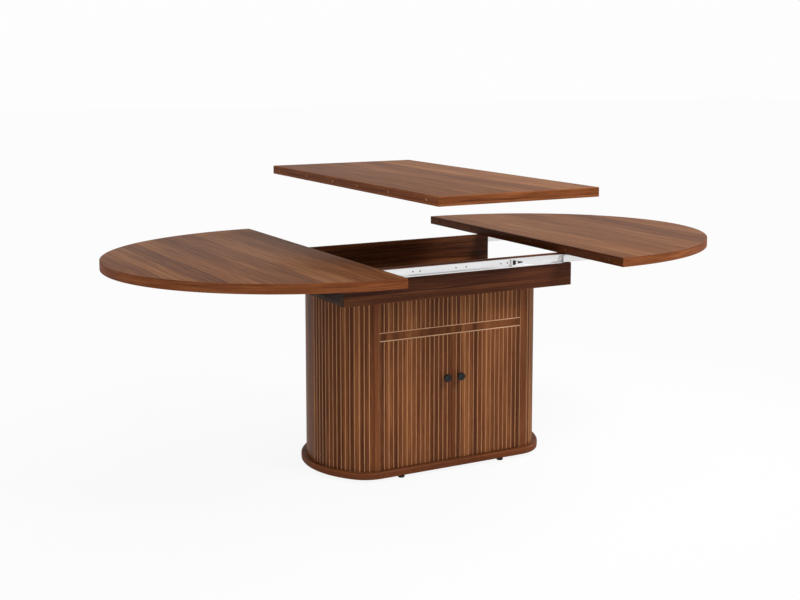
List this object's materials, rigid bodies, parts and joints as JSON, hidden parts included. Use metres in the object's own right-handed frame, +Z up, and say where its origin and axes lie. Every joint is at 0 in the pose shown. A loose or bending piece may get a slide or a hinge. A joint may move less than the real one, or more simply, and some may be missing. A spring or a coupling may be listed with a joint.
{
  "type": "extending pedestal dining table",
  "caption": "Oval dining table with sliding half tops, a lift-in leaf, telescopic slides and a fluted cabinet pedestal with doors",
  "frame": {"origin": "on the floor under the middle of the pedestal", "axes": "+X along the table's length, +Z up, the cabinet doors face -Y"},
  "size_m": [2.194, 1.22, 0.97],
  "materials": {
    "top_wood": "satin walnut veneer",
    "apron_wood": "satin dark walnut",
    "frame_wood": "satin dark walnut",
    "slat_wood": "satin fluted walnut",
    "trim_wood": "satin walnut veneer",
    "board_wood": "matt walnut veneer",
    "dowel_wood": "plain beech",
    "slide_steel": "bright zinc plate",
    "bracket_steel": "zinc plate",
    "pin_steel": "plain steel",
    "black_plastic": "moulded",
    "black_metal": "black satin"
  },
  "bodies": {
    "base": {"front_fascia": "apron_wood", "back_fascia": "apron_wood", "front_inner_rail": "frame_wood", "back_inner_rail": "frame_wood", "frame_floor": "frame_wood", "left_end_panel": "slat_wood", "right_end_panel": "slat_wood", "back_panel": "slat_wood", "upper_front_panel": "slat_wood", "front_left_stile": "trim_wood", "front_right_stile": "trim_wood", "back_left_stile": "trim_wood", "back_right_stile": "trim_wood", "band_rail": "trim_wood", "plinth": "trim_wood", "cabinet_base": "board_wood", "cabinet_top": "board_wood", "shelf": "board_wood", "front_slide_rail": "slide_steel", "back_slide_rail": "slide_steel", "frame_bolts": "bracket_steel", "feet": "black_plastic", "magnetic_catch": "black_plastic"},
    "loose_leaf": {"leaf": "top_wood", "leaf_dowels": "dowel_wood"},
    "left_half": {"left_top": "top_wood", "left_front_inner_slide": "slide_steel", "left_front_bracket": "bracket_steel", "left_back_inner_slide": "slide_steel", "left_back_bracket": "bracket_steel"},
    "left_runners": {"left_front_middle_slide": "slide_steel", "left_back_middle_slide": "slide_steel"},
    "left_door_set": {"left_door": "slat_wood", "left_door_pins": "pin_steel", "left_knob": "black_metal", "left_strike_plate": "pin_steel"},
    "right_half": {"right_top": "top_wood", "right_front_inner_slide": "slide_steel", "right_front_bracket": "bracket_steel", "right_back_inner_slide": "slide_steel", "right_back_bracket": "bracket_steel", "right_top_dowels": "dowel_wood"},
    "right_runners": {"right_front_middle_slide": "slide_steel", "right_back_middle_slide": "slide_steel"},
    "right_door_set": {"right_door": "slat_wood", "right_door_pins": "pin_steel", "right_knob": "black_metal", "right_strike_plate": "pin_steel"},
    "right_front_latch": {"right_front_lever": "black_plastic"},
    "right_back_latch": {"right_back_lever": "black_plastic"}
  },
  "joints": [
    {"name": "left_half_slide", "type": "slide", "parent": "base", "child": "left_half", "axis": [1, 0, 0], "range_m": [0, 0.388]},
    {"name": "left_runner_slide", "type": "slide", "parent": "base", "child": "left_runners", "axis": [1, 0, 0], "range_m": [0, 0.194]},
    {"name": "right_half_slide", "type": "slide", "parent": "base", "child": "right_half", "axis": [-1, 0, 0], "range_m": [0, 0.388]},
    {"name": "right_runner_slide", "type": "slide", "parent": "base", "child": "right_runners", "axis": [-1, 0, 0], "range_m": [0, 0.194]},
    {"name": "leaf_lift", "type": "slide", "parent": "base", "child": "loose_leaf", "axis": [0, 0, 1], "range_m": [-0.23, 0]},
    {"name": "left_door_swing", "type": "hinge", "parent": "base", "child": "left_door_set", "pos_m": [-0.2555, -0.202, 0.246], "axis": [0, 0, -1], "range_deg": [0, 90]},
    {"name": "right_door_swing", "type": "hinge", "parent": "base", "child": "right_door_set", "pos_m": [0.2555, -0.202, 0.246], "axis": [0, 0, 1], "range_deg": [0, 90]},
    {"name": "right_front_latch_tip", "type": "hinge", "parent": "right_runners", "child": "right_front_latch", "pos_m": [0.212, -0.2686, 0.69075], "axis": [0, -1, 0], "range_deg": [0, 10], "stiffness_Nm_per_rad": 0.02, "springref_deg": -8.59},
    {"name": "right_back_latch_tip", "type": "hinge", "parent": "right_runners", "child": "right_back_latch", "pos_m": [0.212, 0.2686, 0.69075], "axis": [0, -1, 0], "range_deg": [0, 10], "stiffness_Nm_per_rad": 0.02, "springref_deg": -8.59}
  ],
  "couplings": [
    {"joint": "left_runner_slide", "follows": "left_half_slide", "ratio": 0.5},
    {"joint": "right_runner_slide", "follows": "right_half_slide", "ratio": 0.5}
  ]
}
